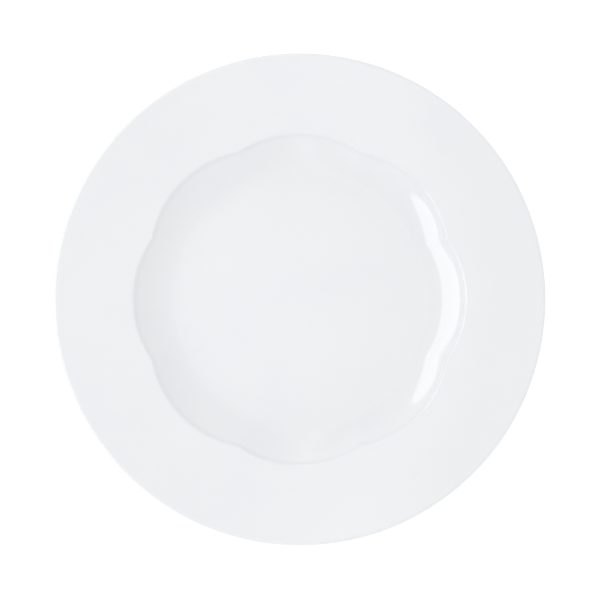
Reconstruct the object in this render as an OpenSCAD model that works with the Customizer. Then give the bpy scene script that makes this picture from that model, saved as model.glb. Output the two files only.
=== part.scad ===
// Round dinner plate with a broad rim and a well whose wall is drawn into lobes.
// The plate stands on its foot ring: the table is z = 0 and the plate's axis is the z axis.

/* [Plate] */
// Width across the lip
plate_d = 270; // [240:5:310]
// Height from the table to the top of the lip
plate_h = 23.5; // [21:0.5:28]
// Thickness of the floor above the foot recess
floor_t = 4.5; // [3:0.25:6]

/* [Rim] */
// Width of the rim, from the lip to the tip of a lobe
rim_w = 41.8; // [36:0.2:48]
// Thickness of the lip
lip_t = 3.6; // [2.8:0.2:5]
// Slope of the rim's face beside the well, in degrees
rim_inner_slope = 4.5; // [2:0.5:6]
// Slope of the rim's face beside the lip, in degrees
rim_outer_slope = 10; // [8:0.5:13]
// Slope of the rim's underside, in degrees
rim_back_slope = 8.5; // [6:0.5:10]

/* [Well] */
// Number of lobes round the well
lobe_count = 8; // [6:1:12]
// How far the well's edge is drawn in between two lobes
lobe_dip = 3.95; // [3:0.05:4.6]
// Slope of the wall, in degrees
wall_slope = 36.5; // [34:0.5:40]
// Slope of the short step over the wall, in degrees
step_slope = 60; // [54:1:64]
// Height of that step
step_h = 3.6; // [2.6:0.1:4.4]
// Radius of the rounding from the step onto the rim
verge_r = 2.6; // [1.6:0.1:2.6]
// Radius of the hollow between the wall and the step
step_hollow_r = 10; // [6:0.5:10]
// Radius of the curve from the floor up into a lobe
lobe_cove_r = 31.8; // [24:0.2:31.8]
// Radius of the tighter curve that rounds off the ridges between the lobes low on the wall
ridge_cove_r = 12.6; // [8:0.2:12.6]
// Slope of that curve at its top, in degrees
ridge_slope = 50; // [46:1:54]
// How far the floor's round edge lies outside the foot of a lobe's curve
floor_reach = 1; // [0.8:0.1:1.6]
// Height taken off each ridge between two lobes, which leaves it a narrow flat
ridge_drop = 0.15; // [0.12:0.01:0.3]

/* [Foot] */
// How far the foot ring's outer edge lies inside the tips of the lobes
foot_inset = 12.2; // [8:0.2:20]
// Width of the foot ring, on the table
foot_w = 4; // [3:0.25:6]
// Depth of the recess inside the foot ring
foot_h = 2.5; // [2:0.25:4]
// Height of the foot ring's outer side
foot_side_h = 4; // [3:0.2:5]
// Lean of the foot ring's outer side, in degrees from upright
foot_outer_lean = 20; // [10:1:30]
// Lean of the foot ring's inner side, in degrees from upright
foot_inner_lean = 15; // [5:1:30]
// Radius of the hollow where the back turns into the rim
back_r = 8; // [4:0.5:12]
// Radius of the hollows on both sides of the foot ring
foot_hollow_r = 1.5; // [0.8:0.1:2]
// Radius of the foot ring's edges
foot_edge_r = 0.8; // [0.4:0.1:1]

/* [Glaze] */
// Thickness of the coat of glaze
glaze_t = 0.3; // [0.2:0.05:0.5]
// Height above the table at which the glaze is wiped off the foot ring
glaze_line = 1.2; // [0.9:0.1:1.6]

/* [Hidden] */
$fn = 120;

// How far a cut runs past the surface it cuts
overrun = 1;
// Largest gap between a rounding's true circle and its preview
fineness = 0.01;
// Share of the lip's thickness taken by the radius of each of its edges
lip_share = 0.44;
// Height by which the top of the verge's rounding stands over the rim at a lobe's tip
verge_lift = 0.03;
// Length left off the top of that rounding, where it is already clear of the rim
verge_stop = 0.3;
// Largest share of the step's length that the rounding over it, and the hollow under it, may take
verge_limit_share = 0.45;
hollow_limit_share = 0.5;
// Largest share of the wall's straight length that the curve under it may take
cove_limit_share = 0.97;
// Largest share of the lobe's curve that the ridges' tighter curve may have as its radius
ridge_limit_share = 0.4;
// Share of the height where the lobe's curve and the ridges' cross, under which a lobe's own cut stops
lift_share = 0.85;
// Share of the well's radius at which the blank's face starts, well inside the wall
blank_share = 0.8;
// Half of the fin left between two lobes' cuts, which the ridge's own cut then takes off
fin_half = 0.2;
// Width of the ridge's own cut
ridge_cut_w = 5;
// Number of straight steps in which the line of a ridge follows each of the wall's curves
arc_steps = 5;

plate_r = plate_d / 2;
well_r = plate_r - rim_w;
foot_r = well_r - foot_inset;
foot_mid_r = foot_r - foot_w / 2;
floor_z = foot_h + floor_t;
lip_r = lip_t * lip_share;
half_turn = 180 / lobe_count;

// Lobe: the circle through its tip and through the points where the well's edge is drawn in the most
dip_r = well_r - lobe_dip;
lobe_offset = (well_r * well_r - dip_r * dip_r) / (well_r - dip_r * cos(half_turn)) / 2;
lobe_r = well_r - lobe_offset;

// Rim: its face is one hollow curve from the slope beside the well to the slope beside the lip
lip_corner_z = plate_h - lip_r + lip_r / cos(rim_outer_slope) + lip_r * tan(rim_outer_slope);
face_end_x = plate_r - lip_t;
face_end_z = lip_corner_z - lip_t * tan(rim_outer_slope);
rim_face_r = (face_end_x - well_r) / (sin(rim_outer_slope) - sin(rim_inner_slope));
verge_z = face_end_z + rim_face_r * (cos(rim_outer_slope) - cos(rim_inner_slope));
verge_top = verge_z + verge_lift;

// Step over the wall, with its rounding and its hollow
step_length = step_h / sin(step_slope);
step_bend = step_slope - wall_slope;
verge_curve = min(verge_r, step_length * verge_limit_share / tan(step_slope / 2));
step_curve = min(step_hollow_r, step_length * hollow_limit_share / tan(step_bend / 2));
verge_x = lobe_r - verge_curve * tan(step_slope / 2);
step_x = verge_x - step_h / tan(step_slope);
step_z = verge_top - step_h;

// Wall of a lobe, and the curve under it
wall_foot_x = step_x - (step_z - floor_z) / tan(wall_slope);
wall_length = (step_z - floor_z) / sin(wall_slope) - step_curve * tan(step_bend / 2);
lobe_curve = min(lobe_cove_r, wall_length * cove_limit_share / tan(wall_slope / 2));
lobe_floor_r = lobe_offset + wall_foot_x - lobe_curve * tan(wall_slope / 2);

// Round part of the well, whose tighter curve starts outside the lobes' own
ridge_curve = min(ridge_cove_r, lobe_curve * ridge_limit_share);
round_floor_r = lobe_floor_r + floor_reach;
round_foot_x = round_floor_r + ridge_curve * tan(ridge_slope / 2);
lobe_lift = lift_share * pow(floor_reach / (1 - sqrt(ridge_curve / lobe_curve)), 2) / lobe_curve / 2;

function unit(v) = v / norm(v);
function left(v) = [-v[1], v[0]];
function cross2(a, b) = a[0] * b[1] - a[1] * b[0];
// Crossing of a line through p along u with a line through q along v
function meet(p, u, q, v) = p + u * cross2(q - p, v) / cross2(u, v);
function along(slope) = [cos(slope), sin(slope)];
// Outline, drawn anticlockwise, with each side moved inward by its own step
function inset(points, steps) = let (n = len(points)) [
    for (i = [0:n - 1])
        let (before = (i + n - 1) % n)
        let (u = unit(points[i] - points[before]))
        let (v = unit(points[(i + 1) % n] - points[i]))
        meet(points[i] + left(u) * steps[before], u, points[i] + left(v) * steps[i], v)
];
// Turn at each corner, in degrees: positive where the corner sticks out
function turns(points) = let (n = len(points)) [
    for (i = [0:n - 1])
        let (u = unit(points[i] - points[(i + n - 1) % n]))
        let (v = unit(points[(i + 1) % n] - points[i]))
        atan2(cross2(u, v), u * v)
];
// Points along the rounding of one corner
function corner_arc(points, radii, i) =
    let (turn = turns(points)[i])
    let (u = unit(points[i] - points[i - 1]))
    let (start = points[i] - u * radii[i] * tan(abs(turn) / 2))
    let (arm = -left(u) * radii[i] * sign(turn))
    [
        for (k = [0:arc_steps])
            let (swing = turn * k / arc_steps)
            start - arm + arm * cos(swing) + left(arm) * sin(swing)
    ];

// Part of a corner's circle beyond the straight cut across the corner, with a point that reaches back over the cut
module corner_round(corner, start, end, radius, turn) {
    middle = (start + end) / 2;
    out = corner - middle;
    side = turn > 0 ? 1 : -1;
    intersection() {
        translate(start + left(unit(corner - start)) * radius * side)
            circle(r = radius, $fn = ceil(180 / acos(1 - fineness / radius)));
        polygon([start, start + out, end + out, end, middle - out]);
    }
}

// Outline with its corners rounded: a radius of zero leaves a corner sharp
module rounded(points, radii) {
    n = len(points);
    turn = turns(points);
    cut = [for (i = [0:n - 1]) radii[i] * tan(abs(turn[i]) / 2)];
    start = [for (i = [0:n - 1]) points[i] - unit(points[i] - points[(i + n - 1) % n]) * cut[i]];
    end = [for (i = [0:n - 1]) points[i] + unit(points[(i + 1) % n] - points[i]) * cut[i]];
    difference() {
        union() {
            polygon([for (i = [0:n - 1]) each (radii[i] > 0 ? [start[i], end[i]] : [points[i]])]);
            for (i = [0:n - 1])
                if (radii[i] > 0 && turn[i] > 0)
                    corner_round(points[i], start[i], end[i], radii[i], turn[i]);
        }
        for (i = [0:n - 1])
            if (radii[i] > 0 && turn[i] < 0)
                corner_round(points[i], start[i], end[i], radii[i], turn[i]);
    }
}

// Half section of the plate before its well is cut, with its glazed sides moved in by a coat
module blank_section(coat) {
    rim_corner = meet([plate_r, lip_corner_z], along(rim_outer_slope), [well_r, verge_z], along(rim_inner_slope));
    blank_x = well_r * blank_share;
    blank_z = verge_z - (well_r - blank_x) * tan(rim_inner_slope);
    points = [
        [0, foot_h],
        [foot_r - foot_w - foot_h * tan(foot_inner_lean), foot_h],
        [foot_r - foot_w, 0],
        [foot_r, 0],
        [foot_r + foot_side_h * tan(foot_outer_lean), foot_side_h],
        [well_r, lip_corner_z - lip_t - rim_w * tan(rim_back_slope)],
        [plate_r, lip_corner_z - lip_t],
        [plate_r, lip_corner_z],
        rim_corner,
        [blank_x, blank_z],
        [0, blank_z]
    ];
    steps = [coat, coat, 0, coat, coat, coat, coat, coat, coat, coat, 0];
    radii = [
        0,
        foot_hollow_r + coat,
        foot_edge_r,
        foot_edge_r,
        foot_hollow_r + coat,
        back_r + coat,
        lip_r - coat,
        lip_r - coat,
        rim_face_r + coat,
        0,
        0
    ];
    rounded(inset(points, steps), radii);
}

// Half section of the round part of the well, grown by a coat
module round_section(coat) {
    top_z = plate_h + overrun;
    points = [
        [0, floor_z],
        [round_foot_x, floor_z],
        [round_foot_x + (top_z - floor_z) / tan(ridge_slope), top_z],
        [0, top_z]
    ];
    rounded(inset(points, [-coat, -coat, 0, 0]), [0, ridge_curve + coat, 0, 0]);
}

// Corners of the half section of one lobe about its own axis, grown by a coat, and their radii
function lobe_corners(coat) = inset(
    [
        [0, floor_z],
        [wall_foot_x, floor_z],
        [step_x, step_z],
        [verge_x, verge_top],
        [lobe_r + overrun, verge_top],
        [lobe_r + overrun, plate_h + overrun],
        [0, plate_h + overrun]
    ],
    [-coat, -coat, -coat, -coat, 0, 0, 0]
);
function lobe_radii(coat) = [0, lobe_curve + coat, step_curve + coat, verge_curve - coat, 0, 0, 0];

// Half section of one lobe about its own axis
module lobe_section(coat) {
    intersection() {
        rounded(lobe_corners(coat), lobe_radii(coat));
        translate([0, floor_z - coat + lobe_lift])
            square([lobe_r - verge_stop, plate_h]);
    }
}

// Space of one lobe, stopped short of its neighbours by half a fin
module lobe_cutter(coat) {
    side = plate_r * tan(half_turn) - fin_half / cos(half_turn);
    intersection() {
        translate([lobe_offset, 0, 0])
            rotate_extrude()
                lobe_section(coat);
        linear_extrude(height = plate_h + plate_h)
            polygon([[fin_half / sin(half_turn), 0], [plate_r, -side], [plate_r, side]]);
    }
}

// Space over one ridge: it follows the line in which two lobes would meet, a little lower
module ridge_cutter(coat) {
    along_x = lobe_offset * cos(half_turn);
    across = lobe_offset * sin(half_turn);
    wall = [for (i = [1:3]) each corner_arc(lobe_corners(coat), lobe_radii(coat), i)];
    rho_start = norm([round_floor_r - along_x, across]);
    rho_end = lobe_r - verge_stop;
    rho = concat(rho_start, [for (p = wall) if (p[0] > rho_start && p[0] < rho_end) p[0]], rho_end);
    line = [for (d = rho) [along_x + sqrt(d * d - across * across), lookup(d, wall) - ridge_drop]];
    top_z = plate_h + overrun;
    rotate([90, 0, half_turn])
        linear_extrude(height = ridge_cut_w, center = true)
            polygon(concat(line, [[line[len(line) - 1][0], top_z], [line[0][0], top_z]]));
}

module round_the_plate() {
    for (i = [0:lobe_count - 1])
        rotate([0, 0, i * 360 / lobe_count])
            children();
}

// Blank with its round part hollowed, then its lobes, then the ridges between them
module hollowed(coat) {
    difference() {
        difference() {
            difference() {
                children();
                rotate_extrude()
                    round_section(coat);
            }
            round_the_plate()
                lobe_cutter(coat);
        }
        round_the_plate()
            ridge_cutter(coat);
    }
}

// Fired clay in one piece: lip, rim, lobed wall, floor and foot ring
module porcelain_body() {
    color([0.93, 0.91, 0.87])
        hollowed(glaze_t)
            rotate_extrude()
                blank_section(glaze_t);
}

// Coat of glaze over the face, round the lip and down the back to the foot ring
module outer_glaze() {
    color([0.94, 0.95, 0.96])
        difference() {
            hollowed(0)
                rotate_extrude()
                    difference() {
                        blank_section(0);
                        translate([-overrun, -overrun])
                            square([foot_mid_r + overrun, overrun + foot_h + floor_t / 2]);
                        translate([0, -overrun])
                            square([foot_r + foot_w, overrun + glaze_line]);
                    }
            porcelain_body();
        }
}

// Coat of glaze inside the foot ring
module foot_recess_glaze() {
    color([0.94, 0.95, 0.96])
        rotate_extrude()
            difference() {
                intersection() {
                    blank_section(0);
                    translate([0, glaze_line])
                        square([foot_mid_r, foot_h + floor_t / 2]);
                }
                blank_section(glaze_t);
            }
}

porcelain_body();
outer_glaze();
foot_recess_glaze();
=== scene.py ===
"""Round porcelain dinner plate with an eight-lobed well, seen from straight above on a plain pale floor."""
import math

import bpy
import numpy as np
from mathutils import Matrix


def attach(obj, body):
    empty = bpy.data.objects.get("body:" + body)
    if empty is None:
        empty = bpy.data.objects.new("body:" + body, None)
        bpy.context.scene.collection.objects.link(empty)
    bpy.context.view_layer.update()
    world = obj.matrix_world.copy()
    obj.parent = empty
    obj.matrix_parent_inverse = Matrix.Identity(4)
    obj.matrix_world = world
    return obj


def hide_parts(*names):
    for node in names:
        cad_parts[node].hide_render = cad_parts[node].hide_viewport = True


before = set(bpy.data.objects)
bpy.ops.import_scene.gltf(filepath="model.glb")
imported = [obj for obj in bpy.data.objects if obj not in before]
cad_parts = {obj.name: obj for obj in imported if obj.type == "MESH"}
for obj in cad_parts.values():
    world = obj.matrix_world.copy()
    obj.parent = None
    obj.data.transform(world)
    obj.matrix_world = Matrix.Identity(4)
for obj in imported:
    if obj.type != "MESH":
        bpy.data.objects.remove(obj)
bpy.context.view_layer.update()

MM = 0.001

# The plate's sizes as in the CAD source, in millimetres, with the slopes given in degrees. Only the offset of
# the lobes differs, by a hundredth of a millimetre.
PLATE_R = 135.0
PLATE_H = 23.5
FLOOR_Z = 7.0

# Lip and rim: the lip's thickness and rounding, the slope of the rim's face at its inner and outer edge, and
# the slope of its back.
LIP_T = 3.6
LIP_ROUND = 1.584
RIM_INNER = math.radians(4.5)
RIM_OUTER = math.radians(10.0)
RIM_BACK = math.radians(8.5)

# Well: how far a lobe's tip and its own centre are from the plate's axis, the slope of the wall, the slope
# and height of the step at its top, and how far the step's top lies over the rim's inner edge.
LOBES = 8
WELL_R = 93.2
LOBE_OFFSET = 33.55
WALL = math.radians(36.5)
STEP = math.radians(60.0)
STEP_H = 3.6
VERGE_LIFT = 0.03

# Foot ring: the outer radius and the width of the bearing band, the height of the recess, the height of the
# foot's outer side, and how far the outer and inner side lean.
FOOT_R = 81.0
FOOT_W = 4.0
FOOT_H = 2.5
FOOT_SIDE = 4.0
FOOT_OUT = math.radians(20.0)
FOOT_IN = math.radians(15.0)

# Roundings of the back: where the foot meets back and recess, along the foot's edges, and where the back
# turns outwards under the rim.
FOOT_HOLLOW = 1.5
FOOT_EDGE = 0.8
BACK_ROUND = 8.0

# Glaze: its thickness, and the height over the table at which it ends on the foot.
COAT = 0.3
GLAZE_LINE = 1.2

# Roundings of the well's section, each as a share of the straight side that limits it: the verge at the
# well's edge, the hollow under the step, and the cove round the floor. They come to 2.6, 8.4 and 32.8 mm,
# where the CAD source has 2.6, 10 and 31.8 mm.
VERGE_SHARE = 0.36
HOLLOW_SHARE = 0.42
COVE_SHARE = 0.96

# How softly one lobe runs into the next, and the wall into the rim, in millimetres.
RIDGE_SOFT = 0.2
RIM_SOFT = 0.1

# Steps of the arcs in degrees, and the reach in millimetres over which the face's slope is taken.
WALL_FINENESS = 0.05
OUTSIDE_FINENESS = 9
SLOPE_REACH = 0.05

# How finely a face is divided on the floor, round the cove, up the wall and over the rim, where it is seen
# and where it is hidden, and how many millimetres the wall's part runs past the well's edge.
SEEN_RINGS = (6, 36, 34, 12)
HIDDEN_RINGS = (3, 14, 14, 5)
PAST_EDGE = 0.3

# Longest step along the back, in millimetres, for the coat, for the body and for the coat in the recess.
COAT_STEP = 8.0
BODY_STEP = 6.0
RECESS_STEP = 4.0

# Height in millimetres that one unit of the glaze's waves, and of the clay's grain, stands for.
WAVE_H = 0.06
GRAIN_H = 0.05

# Camera, in metres: its height, where it stands beside the plate's axis, and half the width that it sees at
# the height of the lip.
CAMERA_HEIGHT = 1.6
CAMERA_X = 0.00033
CAMERA_Y = -0.00033
HALF_VIEW = 0.16442

# Light from all round: its strength at the horizon and straight overhead, what a strip adds, the share that
# is left on the far right, and what the camera sees past the floor.
HORIZON = 1.25
ZENITH = 0.727
OVERHEAD = 0.55
RIGHT_SIDE = 0.92
BEYOND_FLOOR = 1.8

# Where the strip starts, is strongest and ends, and where the right side starts to dim, as X on a ball of
# radius one.
STRIP_LEFT = -0.16
STRIP_PEAK = -0.06
STRIP_RIGHT = 0.12
DIM_FROM = 0.2

# Floor: half its width in metres, its grey, and the glow that lifts it to white for the camera.
FLOOR_HALF = 15.0
FLOOR_GREY = (0.80, 0.80, 0.80, 1)
FLOOR_GLOW = 0.45

WHITE = (1, 1, 1, 1)


# Camera

def add_object(name, data):
    """Object in the scene that holds the data."""
    obj = bpy.data.objects.new(name, data)
    bpy.context.scene.collection.objects.link(obj)
    return obj


def make_camera():
    """Looks straight down from close beside the plate's axis, with the plate a little over four fifths of the
    picture's width."""
    data = bpy.data.cameras.new("camera")
    data.sensor_width = 36.0
    data.angle = 2 * math.atan(HALF_VIEW / (CAMERA_HEIGHT - PLATE_H * MM))
    data.clip_start = 0.01
    data.clip_end = 50
    cam = add_object("camera", data)
    cam.location = (CAMERA_X, CAMERA_Y, CAMERA_HEIGHT)
    bpy.context.scene.camera = cam


make_camera()


# Rounded section lines

def unit(v):
    """The direction of v, one long."""
    return v / np.linalg.norm(v)


def meet(p, u, q, v):
    """Crossing of the line through p along u with the line through q along v."""
    w = q - p
    return p + u * (w[0] * v[1] - w[1] * v[0]) / (u[0] * v[1] - u[1] * v[0])


def rounded_line(points, radii, fineness):
    """Open line with each corner replaced by an arc of its own radius, in two or more equal steps of at most
    fineness degrees."""
    points = [np.array(p, float) for p in points]
    line = [points[0]]
    for before, corner, after, radius in zip(points, points[1:], points[2:], radii):
        u, v = unit(corner - before), unit(after - corner)
        bend = math.atan2(u[0] * v[1] - u[1] * v[0], u @ v)
        start = corner - u * radius * math.tan(abs(bend) / 2)
        centre = start + np.array([-u[1], u[0]]) * math.copysign(radius, bend)
        steps = max(2, math.ceil(math.degrees(abs(bend)) / fineness))
        a = np.linspace(0, bend, steps + 1)[:, None]
        arm = start - centre
        line.extend(centre + arm * np.cos(a) + np.array([-arm[1], arm[0]]) * np.sin(a))
    line.append(points[-1])
    return np.array(line)


def above(line, z):
    """Part of a line after its last crossing of height z, starting on the crossing."""
    i = np.nonzero(line[:, 1] < z)[0].max()
    t = (z - line[i, 1]) / (line[i + 1, 1] - line[i, 1])
    return np.concatenate([[line[i] + (line[i + 1] - line[i]) * t], line[i + 1:]])


def below(line, z):
    """Part of a line before it first falls below height z, ending on the crossing."""
    i = np.nonzero(line[:, 1] < z)[0].min()
    t = (z - line[i - 1, 1]) / (line[i, 1] - line[i - 1, 1])
    return np.concatenate([line[:i], [line[i - 1] + (line[i] - line[i - 1]) * t]])


def spread(line, longest):
    """Line with each long stretch divided into equal steps no longer than longest."""
    out = [line[:1]]
    for a, b in zip(line, line[1:]):
        n = max(1, math.ceil(np.linalg.norm(b - a) / longest))
        out.append(a + (b - a) * (np.arange(1, n + 1) / n)[:, None])
    return np.concatenate(out)


# Section of the rim, from its inner edge at the well to where the lip's rounding takes over

LIP_CORNER_Z = PLATE_H - LIP_ROUND + LIP_ROUND / math.cos(RIM_OUTER) + LIP_ROUND * math.tan(RIM_OUTER)
FACE_END_R = PLATE_R - LIP_T
FACE_END_Z = LIP_CORNER_Z - LIP_T * math.tan(RIM_OUTER)
RIM_ARC = (FACE_END_R - WELL_R) / (math.sin(RIM_OUTER) - math.sin(RIM_INNER))
RIM_START_Z = FACE_END_Z + RIM_ARC * (math.cos(RIM_OUTER) - math.cos(RIM_INNER))
RIM_CENTRE_R = WELL_R - RIM_ARC * math.sin(RIM_INNER)
RIM_CENTRE_Z = RIM_START_Z + RIM_ARC * math.cos(RIM_INNER)

# Section of the well at a lobe's tip. Places named _X are measured from the lobe's own centre.

VERGE_TOP = RIM_START_Z + VERGE_LIFT
LOBE_R = WELL_R - LOBE_OFFSET
STEP_LENGTH = STEP_H / math.sin(STEP)
VERGE_ROUND = STEP_LENGTH * VERGE_SHARE / math.tan(STEP / 2)
STEP_HOLLOW = STEP_LENGTH * HOLLOW_SHARE / math.tan((STEP - WALL) / 2)
VERGE_X = LOBE_R - VERGE_ROUND * math.tan(STEP / 2)
STEP_X = VERGE_X - STEP_H / math.tan(STEP)
STEP_Z = VERGE_TOP - STEP_H
WALL_H = STEP_Z - FLOOR_Z
WALL_X = STEP_X - WALL_H / math.tan(WALL)
WALL_LENGTH = WALL_H / math.sin(WALL) - STEP_HOLLOW * math.tan((STEP - WALL) / 2)
COVE_ROUND = WALL_LENGTH * COVE_SHARE / math.tan(WALL / 2)
COVE_X = WALL_X - COVE_ROUND * math.tan(WALL / 2)
FLOOR_R = LOBE_OFFSET + COVE_X

WALL_LINE = rounded_line([
    (0, FLOOR_Z),
    (LOBE_OFFSET + WALL_X, FLOOR_Z),
    (LOBE_OFFSET + STEP_X, STEP_Z),
    (LOBE_OFFSET + VERGE_X, VERGE_TOP),
    (WELL_R + PLATE_R, VERGE_TOP),
], [COVE_ROUND, STEP_HOLLOW, VERGE_ROUND], WALL_FINENESS)
# Past the well's edge the line runs up at 45 degrees, so that the rim is the lower of the two up to the lip.
WALL_LINE[-1, 1] += PLATE_R


# Surface of the face, as height over the table

def smooth_min(a, b, width):
    """The lower of two heights. Where they are less than width apart, a parabola rounds the corner between
    them and takes up to a quarter of width off."""
    h = np.clip(0.5 + 0.5 * (b - a) / width, 0, 1)
    return b * (1 - h) + a * h - width * h * (1 - h)


def edge_distance(angle):
    """Distance from the plate's axis to the well's lobed edge. A lobe's circle lies at the offset times the
    cosine of the angle from the lobe's middle, plus the root of its radius squared less the square of the
    offset times the sine. Of the two nearest lobes the further circle counts, and a little is added beside
    the ridge: the softness times the logarithm of one plus e to the power of minus the two circles'
    difference over the softness."""
    step = 2 * math.pi / LOBES
    first = np.floor(angle / step)
    both = []
    for k in (first, first + 1):
        off = angle - k * step
        both.append(LOBE_OFFSET * np.cos(off) + np.sqrt(LOBE_R**2 - (LOBE_OFFSET * np.sin(off))**2))
    return np.maximum(*both) + RIDGE_SOFT * np.log1p(np.exp(-np.abs(both[0] - both[1]) / RIDGE_SOFT))


def wall_height(r, edge):
    """Floor and wall of the well, as the section at a lobe's tip. The distance past the floor's round edge is
    scaled so that the well's edge in that direction falls on the tip's. The ridges run out on the floor."""
    drawn = FLOOR_R + (r - FLOOR_R) * (WELL_R - FLOOR_R) / (edge - FLOOR_R)
    return np.interp(drawn, WALL_LINE[:, 0], WALL_LINE[:, 1])


def rim_height(r):
    """Face of the rim over the distance from the plate's axis: a hollow arc with a straight slope on either
    side. The arc's height is its centre's less a root, of the radius squared less the square of the way from
    the centre."""
    arc = RIM_CENTRE_Z - np.sqrt(RIM_ARC**2 - np.clip(r - RIM_CENTRE_R, 0, FACE_END_R - RIM_CENTRE_R)**2)
    z = np.where(r < WELL_R, RIM_START_Z - (WELL_R - r) * math.tan(RIM_INNER), arc)
    return np.where(r > FACE_END_R, FACE_END_Z + (r - FACE_END_R) * math.tan(RIM_OUTER), z)


def face_height(x, y):
    """Height of the face: the lower of the well and the rim, softly joined."""
    r = np.hypot(x, y)
    return smooth_min(wall_height(r, edge_distance(np.arctan2(y, x))), rim_height(r), RIM_SOFT)


def face_normal(x, y):
    """Upward unit normal of the face: minus its slope along x, minus its slope along y, and one, made one
    long. The slopes are differences of its height over a short reach each way."""
    e = SLOPE_REACH
    gx = (face_height(x + e, y) - face_height(x - e, y)) / (2 * e)
    gy = (face_height(x, y + e) - face_height(x, y - e)) / (2 * e)
    n = np.stack([-gx, -gy, np.ones_like(gx)], -1)
    return n / np.linalg.norm(n, axis=-1, keepdims=True)


# Section of the lip, back and foot

def outside_corners(coat):
    """Corners of the plate's half section from the middle of the recess round the foot, back and lip to the
    face, with every side moved in by coat but the bearing band, which is bare."""
    back_z = LIP_CORNER_Z - LIP_T
    corners = [np.array(p) for p in (
        (0.0, FOOT_H),
        (FOOT_R - FOOT_W - FOOT_H * math.tan(FOOT_IN), FOOT_H),
        (FOOT_R - FOOT_W, 0.0),
        (FOOT_R, 0.0),
        (FOOT_R + FOOT_SIDE * math.tan(FOOT_OUT), FOOT_SIDE),
        (WELL_R, back_z - (PLATE_R - WELL_R) * math.tan(RIM_BACK)),
        (PLATE_R, back_z),
        (PLATE_R, LIP_CORNER_Z),
        (FACE_END_R, FACE_END_Z),
    )]
    moves = [coat, coat, 0, coat, coat, coat, coat, coat]
    sides = [(a, unit(b - a)) for a, b in zip(corners, corners[1:])]
    moved = [(a + np.array([-u[1], u[0]]) * m, u) for (a, u), m in zip(sides, moves)]
    inner = [meet(*one, *two) for one, two in zip(moved, moved[1:])]
    last, way = moved[-1]
    end = last + way * np.linalg.norm(corners[-1] - corners[-2])
    return [np.array([0.0, FOOT_H + coat])] + inner + [end]


def outside_line(coat):
    """Rounded half section that lies a coat inside the outside, from the middle of the recess to the face."""
    hollow, lip = FOOT_HOLLOW + coat, LIP_ROUND - coat
    radii = [hollow, FOOT_EDGE, FOOT_EDGE, hollow, BACK_ROUND + coat, lip, lip]
    return rounded_line(outside_corners(coat), radii, OUTSIDE_FINENESS)


# Meshes

def spokes(finest, widest, growth):
    """Angles round the plate in radians. Beside each ridge they are about finest degrees apart, and each gap
    towards the middle of the lobe is growth times the one before it, up to about widest."""
    half = 180 / LOBES
    steps, total = [], 0.0
    size = finest
    while total < half:
        steps.append(size)
        total += size
        size = min(size * growth, widest)
    up = np.cumsum(steps) / total * half
    sector = np.concatenate([[0.0], up, 2 * half - up[-2::-1]])
    return np.radians(np.concatenate([half + 2 * half * k + sector for k in range(LOBES)]))


def face_radii(angle, floor_n, cove_n, wall_n, rim_n):
    """Distances from the axis of the face's rings. On the floor they are round. Up the wall the distance past
    the floor's edge is scaled to the lobed edge, and over the rim it goes evenly from there to the lip."""
    edge = edge_distance(angle)
    bend = COVE_ROUND * math.sin(WALL)
    past = WELL_R + PAST_EDGE - FLOOR_R
    out = np.concatenate([np.linspace(0, bend, cove_n), np.linspace(bend, past, wall_n + 1)[1:]])
    well = FLOOR_R + out[:, None] / (WELL_R - FLOOR_R) * (edge - FLOOR_R)
    inside = FLOOR_R * np.linspace(0, 1, floor_n + 1)[1:-1, None] + np.zeros_like(angle)
    rim = well[-1:] + (FACE_END_R - well[-1:]) * np.linspace(0, 1, rim_n + 1)[1:, None]
    return np.concatenate([inside, well, rim])


def face_rings(angle, counts, depth):
    """Rings of points on the face, moved down into the plate by depth along the surface's normal."""
    r = face_radii(angle, *counts)
    x, y = r * np.cos(angle), r * np.sin(angle)
    p = np.stack([x, y, face_height(x, y)], -1)
    return p - face_normal(x, y) * depth if depth else p


def turned_rings(line, angle):
    """Rings of points that turn a half section round the plate's axis: x and y are a point's distance from
    the axis times the cosine and sine of the angle, and its height stays."""
    r, z = line[:, :1], line[:, 1:]
    return np.stack([r * np.cos(angle), r * np.sin(angle), z + np.zeros_like(angle)], -1)


def ring_mesh(name, rings, start_z, end_z):
    """Closed mesh from rings of points in millimetres, with a single point on the axis at each end."""
    count, n = rings.shape[:2]
    verts = np.concatenate([[[0, 0, start_z]], rings.reshape(-1, 3), [[0, 0, end_z]]]) * MM
    j = np.arange(n)
    after = (j + 1) % n
    i = np.arange(count - 1)[:, None] * n + 1
    quads = np.stack([i + j, i + after, i + n + after, i + n + j], -1).reshape(-1, 4)
    first = np.stack([np.zeros(n, int), 1 + after, 1 + j], -1)
    ring = 1 + (count - 1) * n
    last = np.stack([ring + j, ring + after, np.full(n, count * n + 1)], -1)
    # Each face's points are taken in the opposite order, so that it points outwards.
    faces = first[:, ::-1].tolist() + quads[:, ::-1].tolist() + last[:, ::-1].tolist()
    mesh = bpy.data.meshes.new(name)
    mesh.from_pydata(verts.tolist(), [], faces)
    mesh.polygons.foreach_set("use_smooth", np.ones(len(faces), bool))
    mesh.update()
    return add_object(name, mesh)


def add_piece(obj, node, material):
    """Puts a finished piece in the place of its CAD node."""
    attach(obj, "root")
    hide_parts(node)
    obj.data.materials.append(material)


# Node helpers

def feed(tree, plug, value):
    """Links the value to the plug if it is a socket, and otherwise sets the plug to it."""
    if isinstance(value, bpy.types.NodeSocket):
        tree.links.new(value, plug)
    else:
        plug.default_value = value


def add_node(tree, kind, settings=None, **values):
    """Node of one kind, with its own settings and the values or links of its inputs, whose names are written
    with underscores for spaces."""
    node = tree.nodes.new(kind)
    for key, value in (settings or {}).items():
        setattr(node, key, value)
    for key, value in values.items():
        feed(tree, node.inputs[key.replace("_", " ")], value)
    return node


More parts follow.
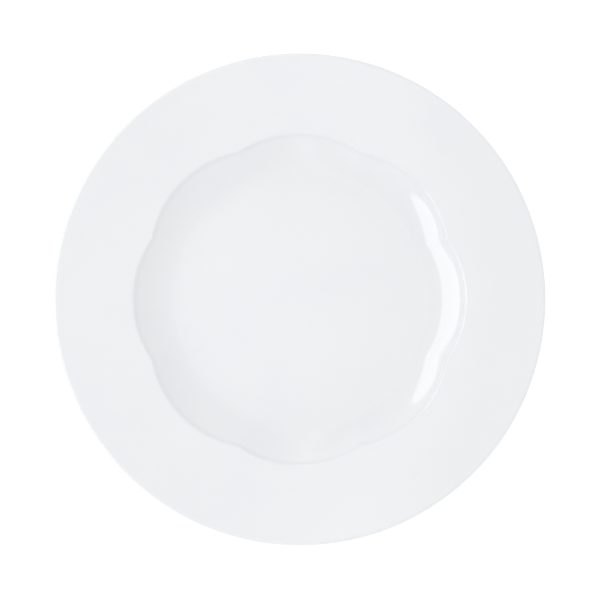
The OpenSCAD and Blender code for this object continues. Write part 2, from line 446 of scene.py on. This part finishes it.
def noise(tree, vector, scale, detail=2.0, rough=0.5):
    """Noise in three dimensions, with about as many cells in a metre as scale says."""
    node = add_node(tree, "ShaderNodeTexNoise", Vector=vector, Scale=scale, Detail=detail, Roughness=rough)
    return node.outputs["Fac"]


def spread_value(tree, value, low, high, to_low, to_high):
    """The value moved in a straight line from the range low to high to the range to_low to to_high, and held
    at its ends."""
    node = add_node(tree, "ShaderNodeMapRange", {"clamp": True}, Value=value,
                    From_Min=low, From_Max=high, To_Min=to_low, To_Max=to_high)
    return node.outputs["Result"]


def math_node(tree, operation, a, b):
    """Result of one operation on two values."""
    node = add_node(tree, "ShaderNodeMath", {"operation": operation})
    for plug, value in zip(node.inputs, (a, b)):
        feed(tree, plug, value)
    return node.outputs[0]


def mix_colour(tree, factor, a, b):
    """Colour that goes from a to b as the factor goes from 0 to 1."""
    node = add_node(tree, "ShaderNodeMix", {"data_type": "RGBA"})
    # The node's inputs 6 and 7 are its two colours, and its output 2 is their mix.
    for place, value in ((0, factor), (6, a), (7, b)):
        feed(tree, node.inputs[place], value)
    return node.outputs[2]


def cloudy(tree, place, scale, detail, rough, a, b):
    """Two colours in soft clouds."""
    cloud = noise(tree, place, scale, detail, rough)
    return mix_colour(tree, spread_value(tree, cloud, 0.3, 0.7, 0.0, 1.0), a, b)


def new_group(name, outputs):
    """Empty node group with the named outputs, and its output node."""
    group = bpy.data.node_groups.new(name, "ShaderNodeTree")
    for label, kind in outputs:
        group.interface.new_socket(label, in_out="OUTPUT", socket_type=kind)
    return group, group.nodes.new("NodeGroupOutput")


def new_material(name, ior):
    """Material with its node tree and its principled shader."""
    mat = bpy.data.materials.new(name)
    mat.use_nodes = True
    shader = mat.node_tree.nodes["Principled BSDF"]
    shader.inputs["IOR"].default_value = ior
    return mat, mat.node_tree, shader


def glaze_group():
    """Clear glaze over white clay: faint clouds of tone, iron specks and pinholes too small to stand out, a
    skin that is now and then less smooth, and a slow waviness."""
    group, out = new_group("glaze_surface", [
        ("Colour", "NodeSocketColor"), ("Roughness", "NodeSocketFloat"), ("Height", "NodeSocketFloat"),
    ])
    place = add_node(group, "ShaderNodeTexCoord").outputs["Object"]
    tone = cloudy(group, place, scale=22.0, detail=3.0, rough=0.55,
                  a=(0.846, 0.865, 0.886, 1), b=(0.866, 0.879, 0.893, 1))

    # Each cell of the pattern has a random value, and only the few with the highest hold a speck.
    speck = add_node(group, "ShaderNodeTexVoronoi", Vector=place, Scale=260.0)
    chance = add_node(group, "ShaderNodeSeparateColor", Color=speck.outputs["Color"]).outputs[0]
    near = spread_value(group, speck.outputs["Distance"], 0.05, 0.09, 1.0, 0.0)
    dot = math_node(group, "MULTIPLY", near, spread_value(group, chance, 0.985, 0.99, 0.0, 0.35))
    feed(group, out.inputs["Colour"], mix_colour(group, dot, tone, (0.50, 0.46, 0.40, 1)))

    fine = noise(group, place, scale=900.0)
    feed(group, out.inputs["Roughness"], spread_value(group, fine, 0.3, 0.7, 0.045, 0.075))

    slow = math_node(group, "MULTIPLY", noise(group, place, scale=38.0, detail=1.0, rough=0.4), 0.35)
    peel = math_node(group, "MULTIPLY", noise(group, place, scale=420.0, detail=1.0, rough=0.4), 0.012)
    waves = math_node(group, "ADD", slow, peel)
    pits = math_node(group, "MULTIPLY", dot, 0.02)
    feed(group, out.inputs["Height"], math_node(group, "SUBTRACT", waves, pits))
    return group


def glaze_material(name, group):
    """Glossy glaze: a smooth reflecting skin over the group's tone, with slow waves under 0.03 mm high."""
    mat, tree, shader = new_material(name, 1.55)
    surface = add_node(tree, "ShaderNodeGroup", {"node_tree": group})
    feed(tree, shader.inputs["Base Color"], surface.outputs["Colour"])
    feed(tree, shader.inputs["Roughness"], surface.outputs["Roughness"])
    height = surface.outputs["Height"]
    bump = add_node(tree, "ShaderNodeBump", Height=height, Strength=1.0, Distance=WAVE_H * MM)
    feed(tree, shader.inputs["Normal"], bump.outputs["Normal"])
    return mat


def clay_material():
    """Bare fired clay: matt warm white with a fine grain, rubbed a little greyer within half a millimetre of
    the table."""
    mat, tree, shader = new_material("fired_clay", 1.5)
    shader.inputs["Specular IOR Level"].default_value = 0.35
    place = add_node(tree, "ShaderNodeTexCoord").outputs["Object"]
    base = cloudy(tree, place, scale=60.0, detail=3.0, rough=0.5,
                  a=(0.79, 0.765, 0.72, 1), b=(0.82, 0.80, 0.765, 1))

    smudge = noise(tree, place, scale=300.0, detail=3.0, rough=0.6)
    height = add_node(tree, "ShaderNodeSeparateXYZ", Vector=place).outputs["Z"]
    low = spread_value(tree, height, 0.0, 0.5 * MM, 1.0, 0.0)
    worn = math_node(tree, "MULTIPLY", spread_value(tree, smudge, 0.5, 0.68, 0.0, 0.5), low)
    feed(tree, shader.inputs["Base Color"], mix_colour(tree, worn, base, (0.56, 0.54, 0.51, 1)))

    grain = noise(tree, place, scale=2600.0, detail=4.0, rough=0.65)
    feed(tree, shader.inputs["Roughness"], spread_value(tree, grain, 0.3, 0.7, 0.55, 0.75))
    bump = add_node(tree, "ShaderNodeBump", Height=grain, Strength=0.6, Distance=GRAIN_H * MM)
    feed(tree, shader.inputs["Normal"], bump.outputs["Normal"])
    return mat


# The three pieces

around = spokes(finest=0.09, widest=1.05, growth=1.22)
glaze = glaze_group()
outside = outside_line(0.0)
body_side = outside_line(COAT)

coat_rings = np.concatenate([
    face_rings(around, SEEN_RINGS, 0.0),
    turned_rings(spread(above(outside, GLAZE_LINE), COAT_STEP)[-2::-1], around),
    turned_rings(spread(above(body_side, GLAZE_LINE), COAT_STEP)[:-1], around),
    face_rings(around, HIDDEN_RINGS, COAT)[::-1],
])
add_piece(ring_mesh("glaze_over_face_and_back", coat_rings, FLOOR_Z, FLOOR_Z - COAT),
          "outer_glaze", glaze_material("face_glaze", glaze))

body_rings = np.concatenate([
    face_rings(around, HIDDEN_RINGS, COAT),
    turned_rings(spread(body_side, BODY_STEP)[-2:0:-1], around),
])
add_piece(ring_mesh("fired_clay_body", body_rings, FLOOR_Z - COAT, FOOT_H + COAT),
          "porcelain_body", clay_material())

recess_rings = np.concatenate([
    turned_rings(spread(below(body_side, GLAZE_LINE), BODY_STEP)[1:], around),
    turned_rings(spread(below(outside, GLAZE_LINE), RECESS_STEP)[:0:-1], around),
])
add_piece(ring_mesh("glaze_in_foot_recess", recess_rings, FOOT_H + COAT, FOOT_H),
          "foot_recess_glaze", glaze_material("recess_glaze", glaze))


# Floor, light and background

def stage_material():
    """Pale matt floor, lifted to white where the camera sees it directly, in a reflection or through
    something, so that only the plate's shadow is darker."""
    mat = bpy.data.materials.new("floor")
    mat.use_nodes = True
    tree = mat.node_tree
    tree.nodes.clear()
    path = add_node(tree, "ShaderNodeLightPath")
    seen = math_node(tree, "ADD", path.outputs["Is Camera Ray"], path.outputs["Is Transmission Ray"])
    seen = math_node(tree, "MINIMUM", math_node(tree, "ADD", seen, path.outputs["Is Glossy Ray"]), 1.0)
    lift = math_node(tree, "MULTIPLY", seen, FLOOR_GLOW)
    glow = add_node(tree, "ShaderNodeEmission", Color=WHITE, Strength=lift)
    matt = add_node(tree, "ShaderNodeBsdfDiffuse", Color=FLOOR_GREY)
    both = tree.nodes.new("ShaderNodeAddShader")
    tree.links.new(glow.outputs[0], both.inputs[0])
    tree.links.new(matt.outputs[0], both.inputs[1])
    out = tree.nodes.new("ShaderNodeOutputMaterial")
    tree.links.new(both.outputs[0], out.inputs["Surface"])
    return mat


def make_floor():
    """Square floor at the height of the table, with the plate in its middle."""
    a = FLOOR_HALF
    mesh = bpy.data.meshes.new("floor")
    mesh.from_pydata([(-a, -a, 0), (a, -a, 0), (a, a, 0), (-a, a, 0)], [], [(0, 1, 2, 3)])
    mesh.materials.append(stage_material())
    floor = add_object("floor", mesh)


def make_world():
    """Pale light from all round, brighter towards the horizon and in a soft strip just left of straight
    overhead, dimmer on the far right, and white where the camera looks past the floor."""
    world = bpy.data.worlds.new("studio")
    bpy.context.scene.world = world
    world.use_nodes = True
    tree = world.node_tree
    path = add_node(tree, "ShaderNodeLightPath")
    ball = add_node(tree, "ShaderNodeTexCoord").outputs["Generated"]
    way = add_node(tree, "ShaderNodeSeparateXYZ", Vector=ball)
    x, z = way.outputs["X"], way.outputs["Z"]
    dome = spread_value(tree, z, 0.0, 1.0, HORIZON, ZENITH)
    falling = spread_value(tree, x, STRIP_PEAK, STRIP_RIGHT, OVERHEAD, 0.0)
    rising = spread_value(tree, x, STRIP_LEFT, STRIP_PEAK, 0.0, 1.0)
    dome = math_node(tree, "ADD", dome, math_node(tree, "MULTIPLY", falling, rising))
    dome = math_node(tree, "MULTIPLY", dome, spread_value(tree, x, DIM_FROM, 1.0, 1.0, RIGHT_SIDE))
    beyond = math_node(tree, "MULTIPLY", path.outputs["Is Camera Ray"], BEYOND_FLOOR)
    back = tree.nodes["Background"]
    feed(tree, back.inputs["Strength"], math_node(tree, "MAXIMUM", beyond, dome))
    feed(tree, back.inputs["Color"], WHITE)


def add_panel(name, place, aim, width, depth, radiance, diffuse, glossy):
    """Oval soft light that faces a point, with its radiance given, seen by matt or glossy reflection or both.
    Its power is the radiance times pi times the oval's area."""
    data = bpy.data.lights.new(name, "AREA")
    data.shape = "ELLIPSE"
    data.size, data.size_y = width, depth
    data.energy = radiance * math.pi * width * depth * math.pi / 4
    lamp = add_object(name, data)
    lamp.location = place
    back = unit(np.array(place) - np.array(aim))
    side = unit(np.cross([0.0, 0.0, 1.0], back))
    up = np.cross(back, side)
    lamp.rotation_euler = Matrix(np.stack([side, up, back], -1).tolist()).to_euler()
    lamp.visible_camera = False
    lamp.visible_diffuse = diffuse
    lamp.visible_glossy = glossy


make_floor()
make_world()
# One light is only seen reflected in the glaze, and makes the bright band on the right of the well.
add_panel("left_window_gloss", place=(-1.5, -0.01, 1.345), aim=(0.0, -0.01, 1.345),
          width=2.68, depth=1.83, radiance=1.85, diffuse=False, glossy=True)
# The other lights the plate without being reflected, and shades the left wall.
add_panel("left_softbox", place=(-0.52, 0.0, 0.43), aim=(0.0, 0.0, 0.0),
          width=0.32, depth=0.32, radiance=1.7, diffuse=True, glossy=False)

scene = bpy.context.scene
scene.view_settings.view_transform = "Standard"
